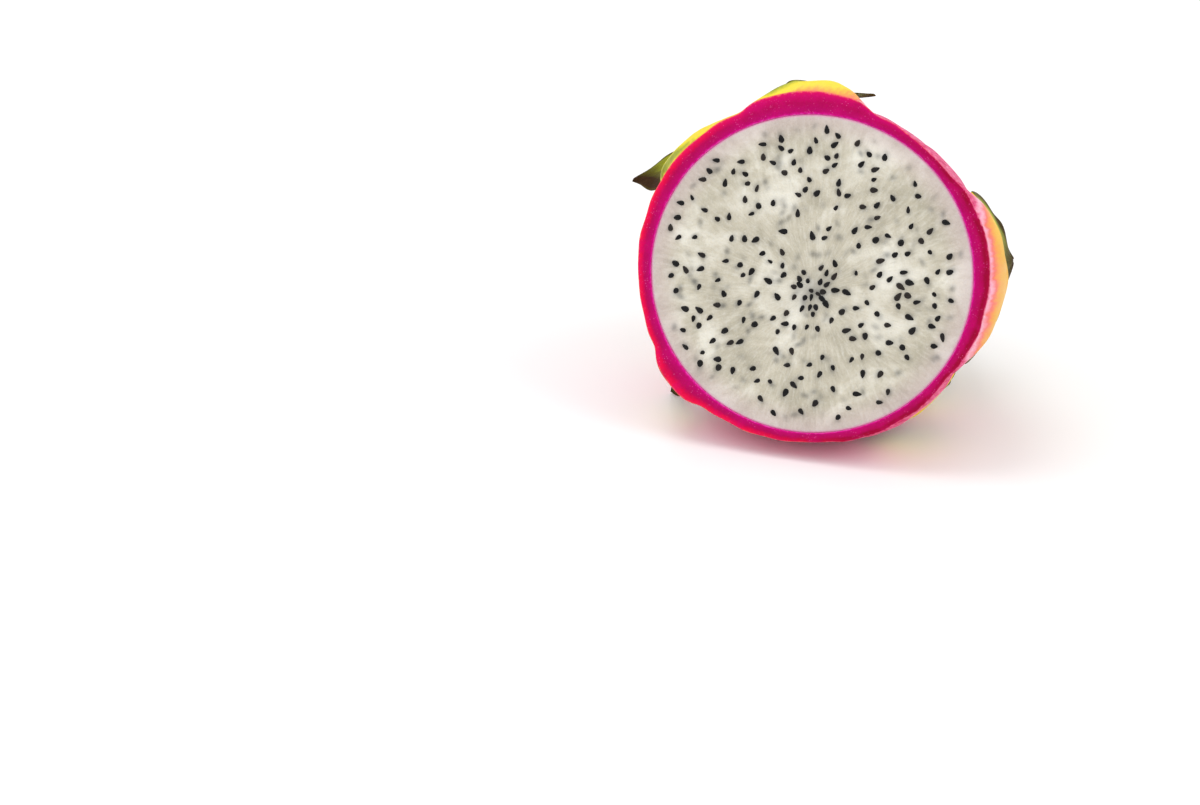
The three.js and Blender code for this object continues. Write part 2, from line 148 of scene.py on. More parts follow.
# How high the skin's swells and the cut's waves are.
SKIN_BROAD = 0.18
SKIN_SLANTING = 0.1
SKIN_FINE = 0.08
SKIN_SETBACK = 0.1  # so that the swells lie mostly inwards
RIM_WAVE = 0.12
FLESH_WAVES = (0.05, 0.04)
SEED_MOUND = 0.1  # how far the flesh comes up round a seed
MOUND_LENGTH = 1.5
MOUND_WIDTH = 1.1
FLESH_SETBACK = 0.08  # of the flesh behind the rim, and how much more at its very edge
EDGE_SETBACK = 0.25
EDGE_WIDTH = 0.012  # as a share of the disc's radius
CREASE = 0.85  # how crisp the cut rim's two edges stay, 0 to 1

# The skin's grain: the radius it is read on, and how much slower it changes along the fruit.
GRAIN_RADIUS = 40
GRAIN_STRETCH = 0.2

# The leaf value that the materials read: the yellow base's, the lip's under a blade and the scar's.
YELLOW = 0.5
LIP_TONE = 0.15
SCAR_TONE = 0.9

# The seeds that show in the cut, and the deeper ones that show through the flesh.
SEED_COUNT = 200
CORE_SEED_COUNT = 22
SEED_LENGTH = 2.5
SEED_WIDTH = 1.45
SEED_THICKNESS = 1.1
SEED_POINT = 0.45  # how much narrower it is towards its tip
SEED_LEAST_SIZE = 0.72
SEED_SIZE_RANGE = 0.42
SEED_PROUD = 0.3
SEED_SUNK_MORE = 0.12  # at most
SEED_LEAN = 0.16  # usual lean out of the cut, in radians
SEED_SPACING = 2.3
CORE_SPACING = 1.45
# How far the seeds turn from pointing away from the core, in radians from side to side.
SEED_SCATTER = 2.6
CORE_SCATTER = 0.8
CORE = (1.5, -4)
CORE_SIZE = 6.5
SEED_FIELD = 0.93
GHOST_COUNT = 120
GHOST_FIELD = 0.94
GHOST_CROWDING = 0.6  # power of the even draw: over 0.5 crowds them towards the middle
GHOST_SPACING = 1.5  # from the seeds that show
GHOST_STRENGTHS = (0.15, 0.62)
GHOST_LENGTHS = (0.85, 1.25)
GHOST_WIDTHS = (0.58, 0.85)
HALO_SHIFT = 0.35
HALO_LENGTH = 1.15
HALO_WIDTH = 0.8
HALO_STRENGTHS = (0.25, 0.6)
CORE_HAZE = (*CORE, 0.8, 4.4, 3.2, 0.42)  # a soft spot: x, z, turn, length, width and strength

# The photo's view: the camera's direction from the middle of the cut, in degrees, its distance, and
# the pixel of the 1200 by 805 frame where the middle of the cut shows.
VIEW_AZIMUTH = 14
VIEW_ELEVATION = 23
VIEW_DISTANCE = 0.693
LENS = 85
SENSOR = 36
FRAME_WIDTH = 1200
FRAME_HEIGHT = 805
FACE_PIXEL = (809.4, 274.4)
AIM_ROUNDS = 12

# The white surroundings' strength, and the lights: name, place, aim, size, power and colour.
SURROUNDINGS = 0.85
LIGHTS = [
    ("key", (-0.5, 0.2, 1.5), (0, 0, 0.04), 0.8, 5, (1, 0.99, 0.97)),
    ("fill", (0.9, -0.1, 0.9), (0.06, -0.05, 0), 0.7, 3, (1, 1, 1)),
    ("left_fill", (-0.9, -0.2, 0.8), (-0.06, -0.05, 0), 0.7, 1.5, (1, 1, 1)),
]
FLOOR_HALF = 2.5

DRAWS_START = 20817
DETAIL_START = 4471
TINY = 1e-9


def lerp(a, b, t):
    return a + (b - a) * t


def smoothstep(x, low, high):
    t = np.clip((x - low) / (high - low), 0, 1)
    return t * t * (3 - 2 * t)


class Draws:
    """The seeded draws that place the bracts and the seeds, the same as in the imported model."""

    def __init__(self):
        self.state = DRAWS_START

    def next(self):
        self.state = (self.state * 1664525 + 1013904223) & 0xFFFFFFFF
        return self.state / 4294967296


draws = Draws()
detail_rng = np.random.default_rng(DETAIL_START)


def to_world(points):
    """Metres in the row frame from millimetres in the fruit's frame."""
    x, y, z = np.moveaxis(np.asarray(points, float), -1, 0)
    c, s = math.cos(FACE_TILT), math.sin(FACE_TILT)
    return np.stack([x, y * c + z * s - REST_SETBACK, -y * s + z * c + CENTRE_HEIGHT], -1) / 1000


UP = np.array([0, -math.sin(FACE_TILT), math.cos(FACE_TILT)])


def settled(points):
    """Points under the floor are pressed up to it."""
    height = points @ UP + CENTRE_HEIGHT
    return points - np.minimum(height, 0)[..., None] * UP


# The rind


def profile(t, depth, scar_depth):
    """Share of the half width, and depth behind the cut, t = 0 at the cut and 1 on the axis."""
    turn = np.clip(t, 0, 1) * np.pi / 2
    radius = np.where(np.asarray(t) < 1, np.cos(turn) ** SHOULDER, 0)
    dip = scar_depth * np.exp(-((radius / SCAR_SHARE) ** 4))
    return radius, depth * np.sin(turn) ** END_POWER - dip


def ellipse(angle, half_width, half_height, depth):
    x, y, z = np.broadcast_arrays(half_width * np.cos(angle), depth, half_height * np.sin(angle))
    return np.stack([x, y, z], -1)


def rind_point(angle, t):
    """The rind's outer surface before the bracts' swollen bases."""
    radius, depth = profile(t, BODY_DEPTH, SCAR_DEPTH)
    share = radius * (1 + LOBES * np.sin(3 * angle + 1.1) + WINDING * np.sin(5 * angle + 7 * t))
    rind = RIND + RIND_EXTRA * np.cos(angle - RIND_THICK_SIDE)
    return ellipse(angle, (FLESH_HALF_WIDTH + rind) * share, (FLESH_HALF_HEIGHT + rind) * share, depth)


def outward_at(angle):
    return np.stack([np.cos(angle), np.zeros_like(angle), np.sin(angle)], -1)


def rind_slope(angle, t):
    """How far the rind's normal leans from straight outwards towards +y, in its meridian plane."""
    ahead = rind_point(angle, np.minimum(t + SLOPE_STEP, BEFORE_AXIS))
    along = ahead - rind_point(angle, np.maximum(t - SLOPE_STEP, 0))
    out = np.sum(along * outward_at(angle), -1)
    return np.arctan2(-out, along[..., 1])


def rind_normal(angle, t):
    slope = rind_slope(angle, t)
    normal = outward_at(angle) * np.cos(slope)[..., None]
    normal[..., 1] = np.sin(slope)
    return normal


RING_PLACES = rind_point(np.zeros(RINGS + 1), np.arange(RINGS + 1) / RINGS)
ARC_AT = np.concatenate([[0], np.cumsum(np.linalg.norm(np.diff(RING_PLACES, axis=0), axis=1))])


def arc_at(ring):
    return np.interp(ring, np.arange(RINGS + 1), ARC_AT)


def grown(row, angles):
    """A row of like bracts, each a little different."""
    made = []
    for angle in angles:
        bract = dict(row, angle=angle)
        bract["length"] = row["length"] * lerp(*LENGTH_SHARES, draws.next())
        bract["lift"] = row["lift"] * lerp(*LIFT_SHARES, draws.next())
        bract["skew"] = SKEW_RANGE * (draws.next() - 0.5)
        bract["twist"] = TWIST_RANGE * (draws.next() - 0.5)
        made.append(bract)
    return made


def all_bracts():
    """Every bract, set to its column."""
    bracts = CUT_ROW + grown(SIDE_ROW, SIDE_ANGLES)
    bracts += grown(SHOULDER_ROW, SHOULDER_ANGLES) + grown(CROWN_ROW, CROWN_ANGLES)
    for bract in bracts:
        column = math.floor(bract["angle"] / 360 * COLUMNS + 0.5) % COLUMNS
        bract["column"] = column
        bract["angle"] = 2 * math.pi * column / COLUMNS
    return bracts


BRACTS = all_bracts()


def swelling(angle, ring):
    """Height of the swollen bases over the rind, and how far each place has turned: 0 pink, 1
    yellow and more for olive."""
    angle, ring = np.broadcast_arrays(angle, ring)
    height = np.zeros(angle.shape)
    near = np.zeros(angle.shape)
    for bract in BRACTS:
        short = ARC_AT[bract["row"]] - arc_at(ring)
        middle = bract["angle"] + math.radians(bract["lean"]) * short / bract["reach"]
        turn = np.arctan2(np.sin(angle - middle), np.cos(angle - middle))
        half_turn = 2 * np.pi * bract["spread"] / COLUMNS * (1 + bract["widen"] * short / bract["reach"])
        aside = turn / np.maximum(half_turn, TINY)
        across = np.clip(1 - aside**4, 0, 1)
        share = across * (1 - smoothstep(short, 0, bract["reach"]))
        share = np.where((short >= -TINY) & (short <= bract["reach"]), share, 0)
        height = np.maximum(height, bract["rise"] * share)
        wing = 1 + bract["wing"] * smoothstep(aside, 0, 0.6)
        near = np.maximum(near, share ** bract["early"] * wing)
    return height, near


def outer_point(angle, ring, height):
    """A place of the skin, at a height over the rind. At the cut it stays in the cut's plane."""
    t = ring / RINGS
    normal = rind_normal(angle, np.full_like(angle, t))
    if ring == 0:
        normal = outward_at(angle)
    return settled(rind_point(angle, t) + normal * np.asarray(height)[..., None])


def cleared(points):
    """Points of a blade that would touch the rind are moved out from it."""
    half_width, half_height = FLESH_HALF_WIDTH + RIND, FLESH_HALF_HEIGHT + RIND
    angle = np.arctan2(points[..., 2] / half_height, points[..., 0] / half_width)
    places = rind_point(angle[..., None], SEARCH)
    away = np.linalg.norm(places - points[..., None, :], axis=-1)
    t = SEARCH[np.argmin(away, axis=-1)]
    normal = rind_normal(angle, t)
    height = np.sum((points - rind_point(angle, t)) * normal, -1)
    wanted = swelling(angle, t * RINGS)[0] + BLADE_CLEARANCE
    return points + normal * np.maximum(wanted - height, 0)[..., None]


# A bract's blade


def blade_line(bract):
    """The blade's middle line in its meridian plane: places with their slopes, one for each row."""
    angle = np.array(bract["angle"])
    outward = outward_at(angle)
    start = bract["row"] / RINGS
    first_height = (bract["rise"] + AXIL_HEIGHT) / 2
    place = rind_point(angle, start) + rind_normal(angle, np.array(start)) * first_height
    steps = BLADE_ROWS * BLADE_STEPS
    places, slopes = [], []
    for k in range(steps + 1):
        u = k / steps
        followed = min(start + bract["hug"] * u * bract["length"] / ARC_AT[-1], LAST_FOLLOWED)
        slope = float(rind_slope(angle, np.array(followed)))
        slope -= math.radians(bract["lift"]) * u ** bract["curl"]
        if k % (BLADE_STEPS // FINE) == 0:
            places.append(place.copy())
            slopes.append(slope)
        along = outward * -math.sin(slope) + np.array([0, math.cos(slope), 0])
        place = place + along * bract["length"] / steps
    return np.array(places[1:]), np.array(slopes[1:])


def turned(vectors, axes, angles):
    """Vectors turned about unit axes they are square to."""
    c, s = np.cos(angles)[:, None], np.sin(angles)[:, None]
    return vectors * c + np.cross(axes, vectors) * s


def blade_sheet(bract, u, share):
    """The middle surface of a blade with its wavy margins, and its normals: rows by columns, for
    each share u of the length and each share of the half width."""
    places, slopes = blade_line(bract)
    angle = bract["angle"]
    outward = outward_at(np.array(angle))
    sideways = np.array([-math.sin(angle), 0, math.cos(angle)])
    y_axis = np.array([0, 1, 0])
    along = np.outer(-np.sin(slopes), outward) + np.outer(np.cos(slopes), y_axis)
    away = np.outer(np.cos(slopes), outward) + np.outer(np.sin(slopes), y_axis)
    turn = math.radians(bract["twist"]) * u * u
    across = turned(np.tile(sideways, (len(u), 1)), along, turn)
    normal = turned(away, along, turn)[:, None]

    base = rind_point(np.array(angle), bract["row"] / RINGS)
    radius = math.hypot(base[0], base[2])
    half_width = radius * 2 * math.pi * bract["spread"] / COLUMNS
    width = lerp(TIP_HALF_WIDTH, half_width, np.cos(np.pi / 2 * u ** bract["taper"]) ** BLADE_POINT)
    phase = detail_rng.uniform(0, 2 * np.pi, 2)
    ragged = np.where(share < 0, np.sin(17 * u + phase[0])[:, None], np.sin(14 * u + phase[1])[:, None])
    ragged *= RAGGED * np.abs(share) ** 2 * smoothstep(u, 0.05, 0.4)[:, None]
    width = width[:, None] * (1 + ragged)
    aside = share * width

    fade = smoothstep(u, 0, 0.8)[:, None]
    sag = lerp(-1, bract["fold"], fade) * aside**2 / (2 * radius)
    sag += bract["flare"] * smoothstep(aside / half_width, 0, 1) * smoothstep(u, 0, 0.4)[:, None]
    tuck = (1 - smoothstep(u, 0, 0.6))[:, None] * share**2 * bract["rise"] / 2
    wave = MARGIN_WAVE * np.sin(19 * u[:, None] + 3 * share + phase[0]) * np.abs(share) ** 3 * fade
    middle = places + np.outer(bract["skew"] * u * u, sideways)
    centre = middle[:, None] + across[:, None] * aside[..., None]
    return centre + normal * (sag - tuck + wave)[..., None], normal


def blade_rows(bract):
    """Outer and inner points of a blade with its midrib, rows by columns, and the shares of its
    length and half width that they lie at."""
    rows = BLADE_ROWS * FINE
    u = np.arange(1, rows + 1) / rows
    share = np.linspace(-1, 1, 2 * bract["spread"] * FINE + 1)
    centre, normal = blade_sheet(bract, u, share)
    thick = lerp(bract["rise"], BLADE_MIDDLE, smoothstep(u, 0, 0.7))[:, None]
    half = lerp(thick, BLADE_EDGE, np.abs(share) ** 1.5) / 2
    inner = cleared(centre - normal * half[..., None])
    low = inner @ UP + CENTRE_HEIGHT - 2 * half
    inner = inner - np.minimum(low, 0)[..., None] * UP
    rib = MIDRIB_HEIGHT * np.exp(-((share / MIDRIB_WIDTH) ** 2)) * (1 - u[:, None] ** 3)
    outer = settled(inner + normal * (2 * half + rib)[..., None])
    return outer, inner, u, share


class Surface:
    """A mesh being sewn: points with the values its material reads, and faces."""

    VALUES = ("leaf", "margin", "under", "rim")

    def __init__(self):
        self.points = []
        self.values = []
        self.grain = []
        self.faces = []
        self.materials = []

    def row(self, points, grain, leaf=0, margin=0, under=0, rim=0):
        """Adds a row of points, and returns their numbers."""
        first = len(self.points)
        count = len(points)
        self.points.extend(points)
        self.grain.extend(grain)
        self.values.extend(zip(*(np.broadcast_to(v, count) for v in (leaf, margin, under, rim))))
        return list(range(first, first + count))

    def face(self, corners, material=0):
        kept = [c for k, c in enumerate(corners) if c != corners[k - 1]]
        if len(kept) >= 3:
            self.faces.append(kept)
            self.materials.append(material)

    def strip(self, first, second, closed=False, material=0):
        """Faces between two rows, which look out where the second row is further from the cut."""
        for k in range(len(first) if closed else len(first) - 1):
            n = (k + 1) % len(first)
            self.face([first[k], second[k], second[n], first[n]], material)

    def object(self, name, materials):
        values = dict(zip(self.VALUES, np.transpose(self.values)))
        values.update(grain=self.grain, place=self.points)
        made = mesh_object(name, self.points, self.faces, materials, **values)
        made.data.polygons.foreach_set("material_index", self.materials)
        return made


def add_object(name, data):
    made = bpy.data.objects.new(name, data)
    bpy.context.scene.collection.objects.link(made)
    return made


def mesh_object(name, points, faces, materials, **attributes):
    """A smooth object from points in the fruit's frame, with a number or a vector for each point
    under each attribute's name."""
    mesh = bpy.data.meshes.new(name)
    mesh.from_pydata(to_world(points).tolist(), [], faces)
    for material in materials:
        mesh.materials.append(material)
    mesh.polygons.foreach_set("use_smooth", [True] * len(faces))
    for key, given in attributes.items():
        numbers = np.array(given, np.float32)
        kind, field = ("FLOAT", "value") if numbers.ndim == 1 else ("FLOAT_VECTOR", "vector")
        mesh.attributes.new(key, kind, "POINT").data.foreach_set(field, numbers.ravel())
    mesh.update()
    return add_object(name, mesh)


def applied(made):
    """The object with its modifiers applied."""
    graph = bpy.context.evaluated_depsgraph_get()
    mesh = bpy.data.meshes.new_from_object(made.evaluated_get(graph))
    made.modifiers.clear()
    old = made.data
    made.data = mesh
    mesh.name = made.name
    bpy.data.meshes.remove(old)
    return made


def grain_of(angle, arc):
    """Where the skin's lengthwise grain is read: round the fruit, and slowly along it, in mm."""
    angle, arc = np.broadcast_arrays(angle, arc)
    return np.stack([GRAIN_RADIUS * np.cos(angle), GRAIN_RADIUS * np.sin(angle), GRAIN_STRETCH * arc], -1)


CUT_MATERIAL = 1
RIM_ROWS = 5


def rind_unevenness(angle, ring):
    """Small swells of the skin, in mm, outwards where over 0."""
    arc = arc_at(ring)
    swell = SKIN_BROAD * np.sin(9 * angle + 0.21 * arc + 0.4) * np.sin(0.33 * arc + 4 * angle)
    swell += SKIN_SLANTING * np.sin(23 * angle - 0.35 * arc)
    swell += SKIN_FINE * np.sin(31 * angle + 0.5 * arc + 2)
    return swell - SKIN_SETBACK


def cup_row(angles, t):
    """Places round the inside of the cup, t = 0 at the cut and 1 on the axis."""
    radius, depth = profile(t, FLESH_DEPTH + LAYER_GAP, 0)
    half_width = (FLESH_HALF_WIDTH + LAYER_GAP) * radius
    half_height = (FLESH_HALF_HEIGHT + LAYER_GAP) * radius
    return ellipse(angles, half_width, half_height, depth)


def peel_surface():
    """The rind as one closed surface: the cup, the cut rim, the outside, and the bracts, each a
    pocket sewn into a slit at its axil."""
    surface = Surface()
    columns = COLUMNS * FINE
    angles = 2 * np.pi * np.arange(columns) / columns
    grain_at_cut = grain_of(angles, 0)
    pole = surface.row(cup_row(angles, 1.0)[:1], grain_at_cut[:1])
    above = pole * columns
    for ring in range(CUP_RINGS - 1, -1, -1):
        row = surface.row(cup_row(angles, ring / CUP_RINGS), grain_at_cut)
        surface.strip(above, row, closed=True)
        above = row

    cut_edge = cup_row(angles, 0.0)
    outer_edge = outer_point(angles, 0, swelling(angles, 0)[0] + rind_unevenness(angles, 0))
    for k in range(1, RIM_ROWS):
        share = k / RIM_ROWS
        row = lerp(cut_edge, outer_edge, share)
        row[:, 1] += RIM_WAVE * np.sin(np.pi * share) * np.sin(13 * angles + 4 * share)
        row = surface.row(row, grain_at_cut, rim=share)
        surface.strip(above, row, closed=True, material=CUT_MATERIAL)
        above = row

    for step in range(RINGS * FINE):
        ring = step / FINE
        height, near = swelling(angles, ring)
        height = height + rind_unevenness(angles, ring)
        row = outer_edge if step == 0 else outer_point(angles, ring, height)
        grain = grain_of(angles, arc_at(ring))
        row = surface.row(row, grain, leaf=YELLOW * near, rim=float(step == 0))
        surface.strip(above, row, closed=True, material=CUT_MATERIAL if step == 0 else 0)
        above = list(row)
        for bract in [each for each in BRACTS if each["row"] * FINE == step]:
            sew_bract(surface, bract, row, above)
    pole = np.zeros(1)
    scar = surface.row(rind_point(pole, 1.0), grain_of(pole, ARC_AT[-1]), leaf=SCAR_TONE)
    surface.strip(above, scar * columns, closed=True)
    return surface


def sew_bract(surface, bract, row, above):
    """Slits the row at the axil and sews the blade in. above becomes the slit's lower lip."""
    half = bract["spread"] * FINE
    slit = [(bract["column"] * FINE - half + k) % len(row) for k in range(2 * half + 1)]
    angles = 2 * np.pi * np.array(slit) / len(row)
    lip_ring = bract["row"] + LIP_RING
    lip = outer_point(angles[1:-1], lip_ring, np.full(len(slit) - 2, AXIL_HEIGHT))
    lip = surface.row(lip, grain_of(angles[1:-1], arc_at(lip_ring)), leaf=LIP_TONE)
    inner = [row[slit[0]], *lip, row[slit[-1]]]
    outer = [row[column] for column in slit]
    for k, column in enumerate(slit):
        above[column] = inner[k]

    outer_rows, inner_rows, along, share = blade_rows(bract)
    for outer_points, inner_points, u in zip(outer_rows, inner_rows, along):
        grain = grain_of(angles, arc_at(bract["row"]) + u * bract["length"])
        leaf = lerp(YELLOW, 1, lerp(bract["ripe"], 1, u ** bract["dry"]))
        # Painted shade: side turns one margin darker and browner.
        leaf = leaf + bract["side"] * smoothstep(share, -0.3, 0.8)
        margin = np.abs(share)
        next_outer = surface.row(outer_points, grain, leaf=leaf, margin=margin)
        next_inner = surface.row(inner_points, grain, leaf=leaf, margin=margin, under=1)
        surface.strip(outer, next_outer)
        surface.strip(next_inner, inner)
        surface.face([outer[0], inner[0], next_inner[0], next_outer[0]])
        surface.face([next_outer[-1], next_inner[-1], inner[-1], outer[-1]])
        outer, inner = next_outer, next_inner
    surface.strip(outer, inner)


def crease_cut_edges(made):
    """Keeps the two edges of the cut rim crisp where the mesh is smoothed."""
    mesh = made.data
    rim = np.zeros(len(mesh.polygons), np.int32)
    mesh.polygons.foreach_get("material_index", rim)
    sides = {}
    for polygon in mesh.polygons:
        for key in polygon.edge_keys:
            sides.setdefault(key, set()).add(int(rim[polygon.index]))
    crease = [CREASE if len(sides[tuple(sorted(edge.vertices))]) == 2 else 0 for edge in mesh.edges]
    mesh.attributes.new("crease_edge", "FLOAT", "EDGE").data.foreach_set("value", crease)


def make_peel(materials):
    made = peel_surface().object("fruit_peel", materials)
    crease_cut_edges(made)
    smooth = made.modifiers.new("smooth", "SUBSURF")
    smooth.levels = smooth.render_levels = 1
    return applied(made)


# The flesh and the seeds


def seed_places():
    """Where the seeds lie in the cut: x, z, the way the tip points, and size."""
    places = []

    def try_place(x, z, spacing, scatter):
        clear = all(math.hypot(other[0] - x, other[1] - z) > spacing for other in places)
        inside = math.hypot(x / FLESH_HALF_WIDTH, z / FLESH_HALF_HEIGHT) < SEED_FIELD
        turn = math.atan2(z - CORE[1], x - CORE[0]) + scatter * (draws.next() - 0.5)
        size = SEED_LEAST_SIZE + SEED_SIZE_RANGE * draws.next()
        if clear and inside:
            places.append((x, z, turn, size))

    while len(places) < CORE_SEED_COUNT:
        reach = CORE_SIZE * draws.next()
        way = 2 * math.pi * draws.next()
        x, z = CORE[0] + reach * math.cos(way), CORE[1] + reach * math.sin(way)
        try_place(x, z, CORE_SPACING, CORE_SCATTER)
    while len(places) < CORE_SEED_COUNT + SEED_COUNT:
        x = FLESH_HALF_WIDTH * (2 * draws.next() - 1)
        z = FLESH_HALF_HEIGHT * (2 * draws.next() - 1)
        try_place(x, z, SEED_SPACING, SEED_SCATTER)
    return np.array(places)


def ghost_places(seeds):
    """Deeper seeds that show as soft grey marks: x, z, turn, length, width and strength."""
    ghosts = []
    while len(ghosts) < GHOST_COUNT:
        way = detail_rng.uniform(0, 2 * np.pi)
        reach = detail_rng.uniform(0, 1) ** GHOST_CROWDING * GHOST_FIELD
        x = reach * FLESH_HALF_WIDTH * math.cos(way)
        z = reach * FLESH_HALF_HEIGHT * math.sin(way)
        turn, strength = detail_rng.uniform(0, np.pi), detail_rng.uniform(*GHOST_STRENGTHS)
        length, width = detail_rng.uniform(*GHOST_LENGTHS), detail_rng.uniform(*GHOST_WIDTHS)
        if np.min(np.hypot(seeds[:, 0] - x, seeds[:, 1] - z)) > GHOST_SPACING:
            ghosts.append((x, z, turn, length, width, strength))
    return np.array(ghosts)


def halo_places(seeds):
    """The soft grey rim round each seed, where its sunk part shows through the flesh."""
    count = len(seeds)
    way = detail_rng.uniform(0, 2 * np.pi, count)
    x, z, turn, size = seeds.T
    x = x + HALO_SHIFT * np.cos(way)
    z = z + HALO_SHIFT * np.sin(way)
    strength = detail_rng.uniform(*HALO_STRENGTHS, count)
    return np.stack([x, z, turn, HALO_LENGTH * size, HALO_WIDTH * size, strength], -1)


def shade_from(spots, x, z):
    """How dark the soft spots make each place, 0 to 1."""
    clear = np.ones(x.shape)
    for spot_x, spot_z, turn, length, width, strength in spots:
        dx, dz = x - spot_x, z - spot_z
        along = (dx * math.cos(turn) + dz * math.sin(turn)) / length
        across = (dz * math.cos(turn) - dx * math.sin(turn)) / width
        clear *= 1 - strength * np.exp(-(along**2 + across**2))
    return 1 - clear


def disc_grid(count):
    """A square grid bent to a unit disc, with its outer points in order round it."""
    side = np.linspace(-1, 1, count + 1)
    a, b = np.meshgrid(side, side, indexing="ij")
    wide = np.abs(a) > np.abs(b)
    r = np.where(wide, a, b)
    safe = np.where(np.abs(r) < TINY, 1, r)
    turn = np.where(wide, np.pi / 4 * b / safe, np.pi / 2 - np.pi / 4 * a / safe)
    number = np.arange((count + 1) ** 2).reshape(count + 1, count + 1)
    border = [*number[:-1, 0], *number[-1, :-1], *number[:0:-1, -1], *number[0, :0:-1]]
    quads = np.stack([number[:-1, :-1], number[:-1, 1:], number[1:, 1:], number[1:, :-1]], -1)
    return r * np.cos(turn), r * np.sin(turn), quads.reshape(-1, 4), border


FACE_GRID = 256
DOME_ROWS = 8


def cut_face(seeds):
    """The wet cut face, finely meshed: its points, how dark each is, how far in from the edge each
    lies as a share of the radius, its quads, and its border in order."""
    unit_x, unit_z, quads, border = disc_grid(FACE_GRID)
    x = (FLESH_HALF_WIDTH + LAYER_GAP) * unit_x.ravel()
    z = (FLESH_HALF_HEIGHT + LAYER_GAP) * unit_z.ravel()
    edge = 1 - np.hypot(unit_x, unit_z).ravel()
    shade = shade_from(np.vstack([ghost_places(seeds), halo_places(seeds), [CORE_HAZE]]), x, z)
    mounds = [(sx, sz, turn, MOUND_LENGTH * size, MOUND_WIDTH * size, 1) for sx, sz, turn, size in seeds]
    y = FLESH_WAVES[0] * np.sin(0.35 * x + 0.2 * z) + FLESH_WAVES[1] * np.sin(0.6 * z - 0.25 * x + 1)
    y -= SEED_MOUND * shade_from(mounds, x, z)
    y += EDGE_SETBACK * (1 - smoothstep(edge, 0, EDGE_WIDTH)) + FLESH_SETBACK
    return np.stack([x, y, z], -1), shade, edge, quads.tolist(), border


def make_flesh(material, seeds):
    """The flesh: the cut face, and a plain dome inside the rind."""
    face, shade, edge, faces, border = cut_face(seeds)
    x, z = face[border, 0], face[border, 2]
    angles = np.arctan2(z / (FLESH_HALF_HEIGHT + LAYER_GAP), x / (FLESH_HALF_WIDTH + LAYER_GAP))
    points = [face]
    above = list(border)
    first = len(face)
    for k in range(1, DOME_ROWS):
        radius, depth = profile(k / DOME_ROWS, FLESH_DEPTH, 0)
        points.append(ellipse(angles, FLESH_HALF_WIDTH * radius, FLESH_HALF_HEIGHT * radius, depth))
        row = list(range(first, first + len(border)))
        first += len(border)
        for n in range(len(border)):
            m = (n + 1) % len(border)
            faces.append([above[n], above[m], row[m], row[n]])
        above = row
    points.append(np.array([[0, FLESH_DEPTH, 0]]))
    faces.extend([above[n], above[(n + 1) % len(above)], first] for n in range(len(above)))

    place = np.concatenate(points)
    dome = np.zeros(len(place) - len(face))
    values = dict(shade=np.append(shade, dome), edge=np.append(edge, dome), place=place)
    return mesh_object("fruit_flesh", place, faces, [material], **values)


SEED_RINGS = 8
SEED_SIDES = 12


def seed_shape():
    """The points of a seed of size 1 before it is placed, from its tip on: how far along it, across
    it and deep in the flesh they lie."""
    way = np.pi * np.arange(1, SEED_RINGS) / SEED_RINGS
    side = 2 * np.pi * np.arange(SEED_SIDES) / SEED_SIDES
    narrow = (1 - SEED_POINT * np.cos(way)) * np.sin(way)
    along = np.concatenate([[1], np.repeat(np.cos(way), SEED_SIDES), [-1]]) * SEED_LENGTH / 2
    across = np.concatenate([[0], np.outer(narrow, np.cos(side)).ravel(), [0]]) * SEED_WIDTH / 2
    deep = np.concatenate([[0], np.outer(narrow, np.sin(side)).ravel(), [0]]) * SEED_THICKNESS / 2
    return along, across, deep


def seed_faces(tip):
    """The faces of the seed whose first point is numbered tip."""
    faces = []
    end = tip + 1 + (SEED_RINGS - 1) * SEED_SIDES
    for n in range(SEED_SIDES):
        m = (n + 1) % SEED_SIDES
        faces.append([tip, tip + 1 + m, tip + 1 + n])
        for a in range(tip + 1, end - SEED_SIDES, SEED_SIDES):
            b = a + SEED_SIDES
            faces.append([a + n, a + m, b + m, b + n])
        faces.append([end - SEED_SIDES + n, end - SEED_SIDES + m, end])
    return faces


def make_seeds(material, seeds):
    """All the seeds of the cut, each a teardrop half sunk in the flesh."""
    along, across, deep = seed_shape()
    points, faces, tones = [], [], []
    for number, (x, z, turn, size) in enumerate(seeds):
        lean = detail_rng.normal(0, SEED_LEAN)
        sunk = SEED_THICKNESS / 2 * size - SEED_PROUD + detail_rng.uniform(0, SEED_SUNK_MORE)
        length = along * math.cos(lean) - deep * math.sin(lean)
        depth = along * math.sin(lean) + deep * math.cos(lean)
        px = x + size * (length * math.cos(turn) - across * math.sin(turn))
        pz = z + size * (length * math.sin(turn) + across * math.cos(turn))
        points.append(np.stack([px, size * depth + sunk, pz], -1))
        tones.append(np.full(len(along), detail_rng.uniform(0, 1)))
        faces += seed_faces(number * len(along))
    tone = np.concatenate(tones)
    return mesh_object("fruit_seeds", np.concatenate(points), faces, [material], tone=tone)


# Materials


def srgb(red, green, blue):
    """A colour as a picture shows it, 0 to 255, as the shader's linear colour."""
    values = [v / 255 for v in (red, green, blue)]
    return (*[v / 12.92 if v <= 0.04045 else ((v + 0.055) / 1.055) ** 2.4 for v in values], 1)


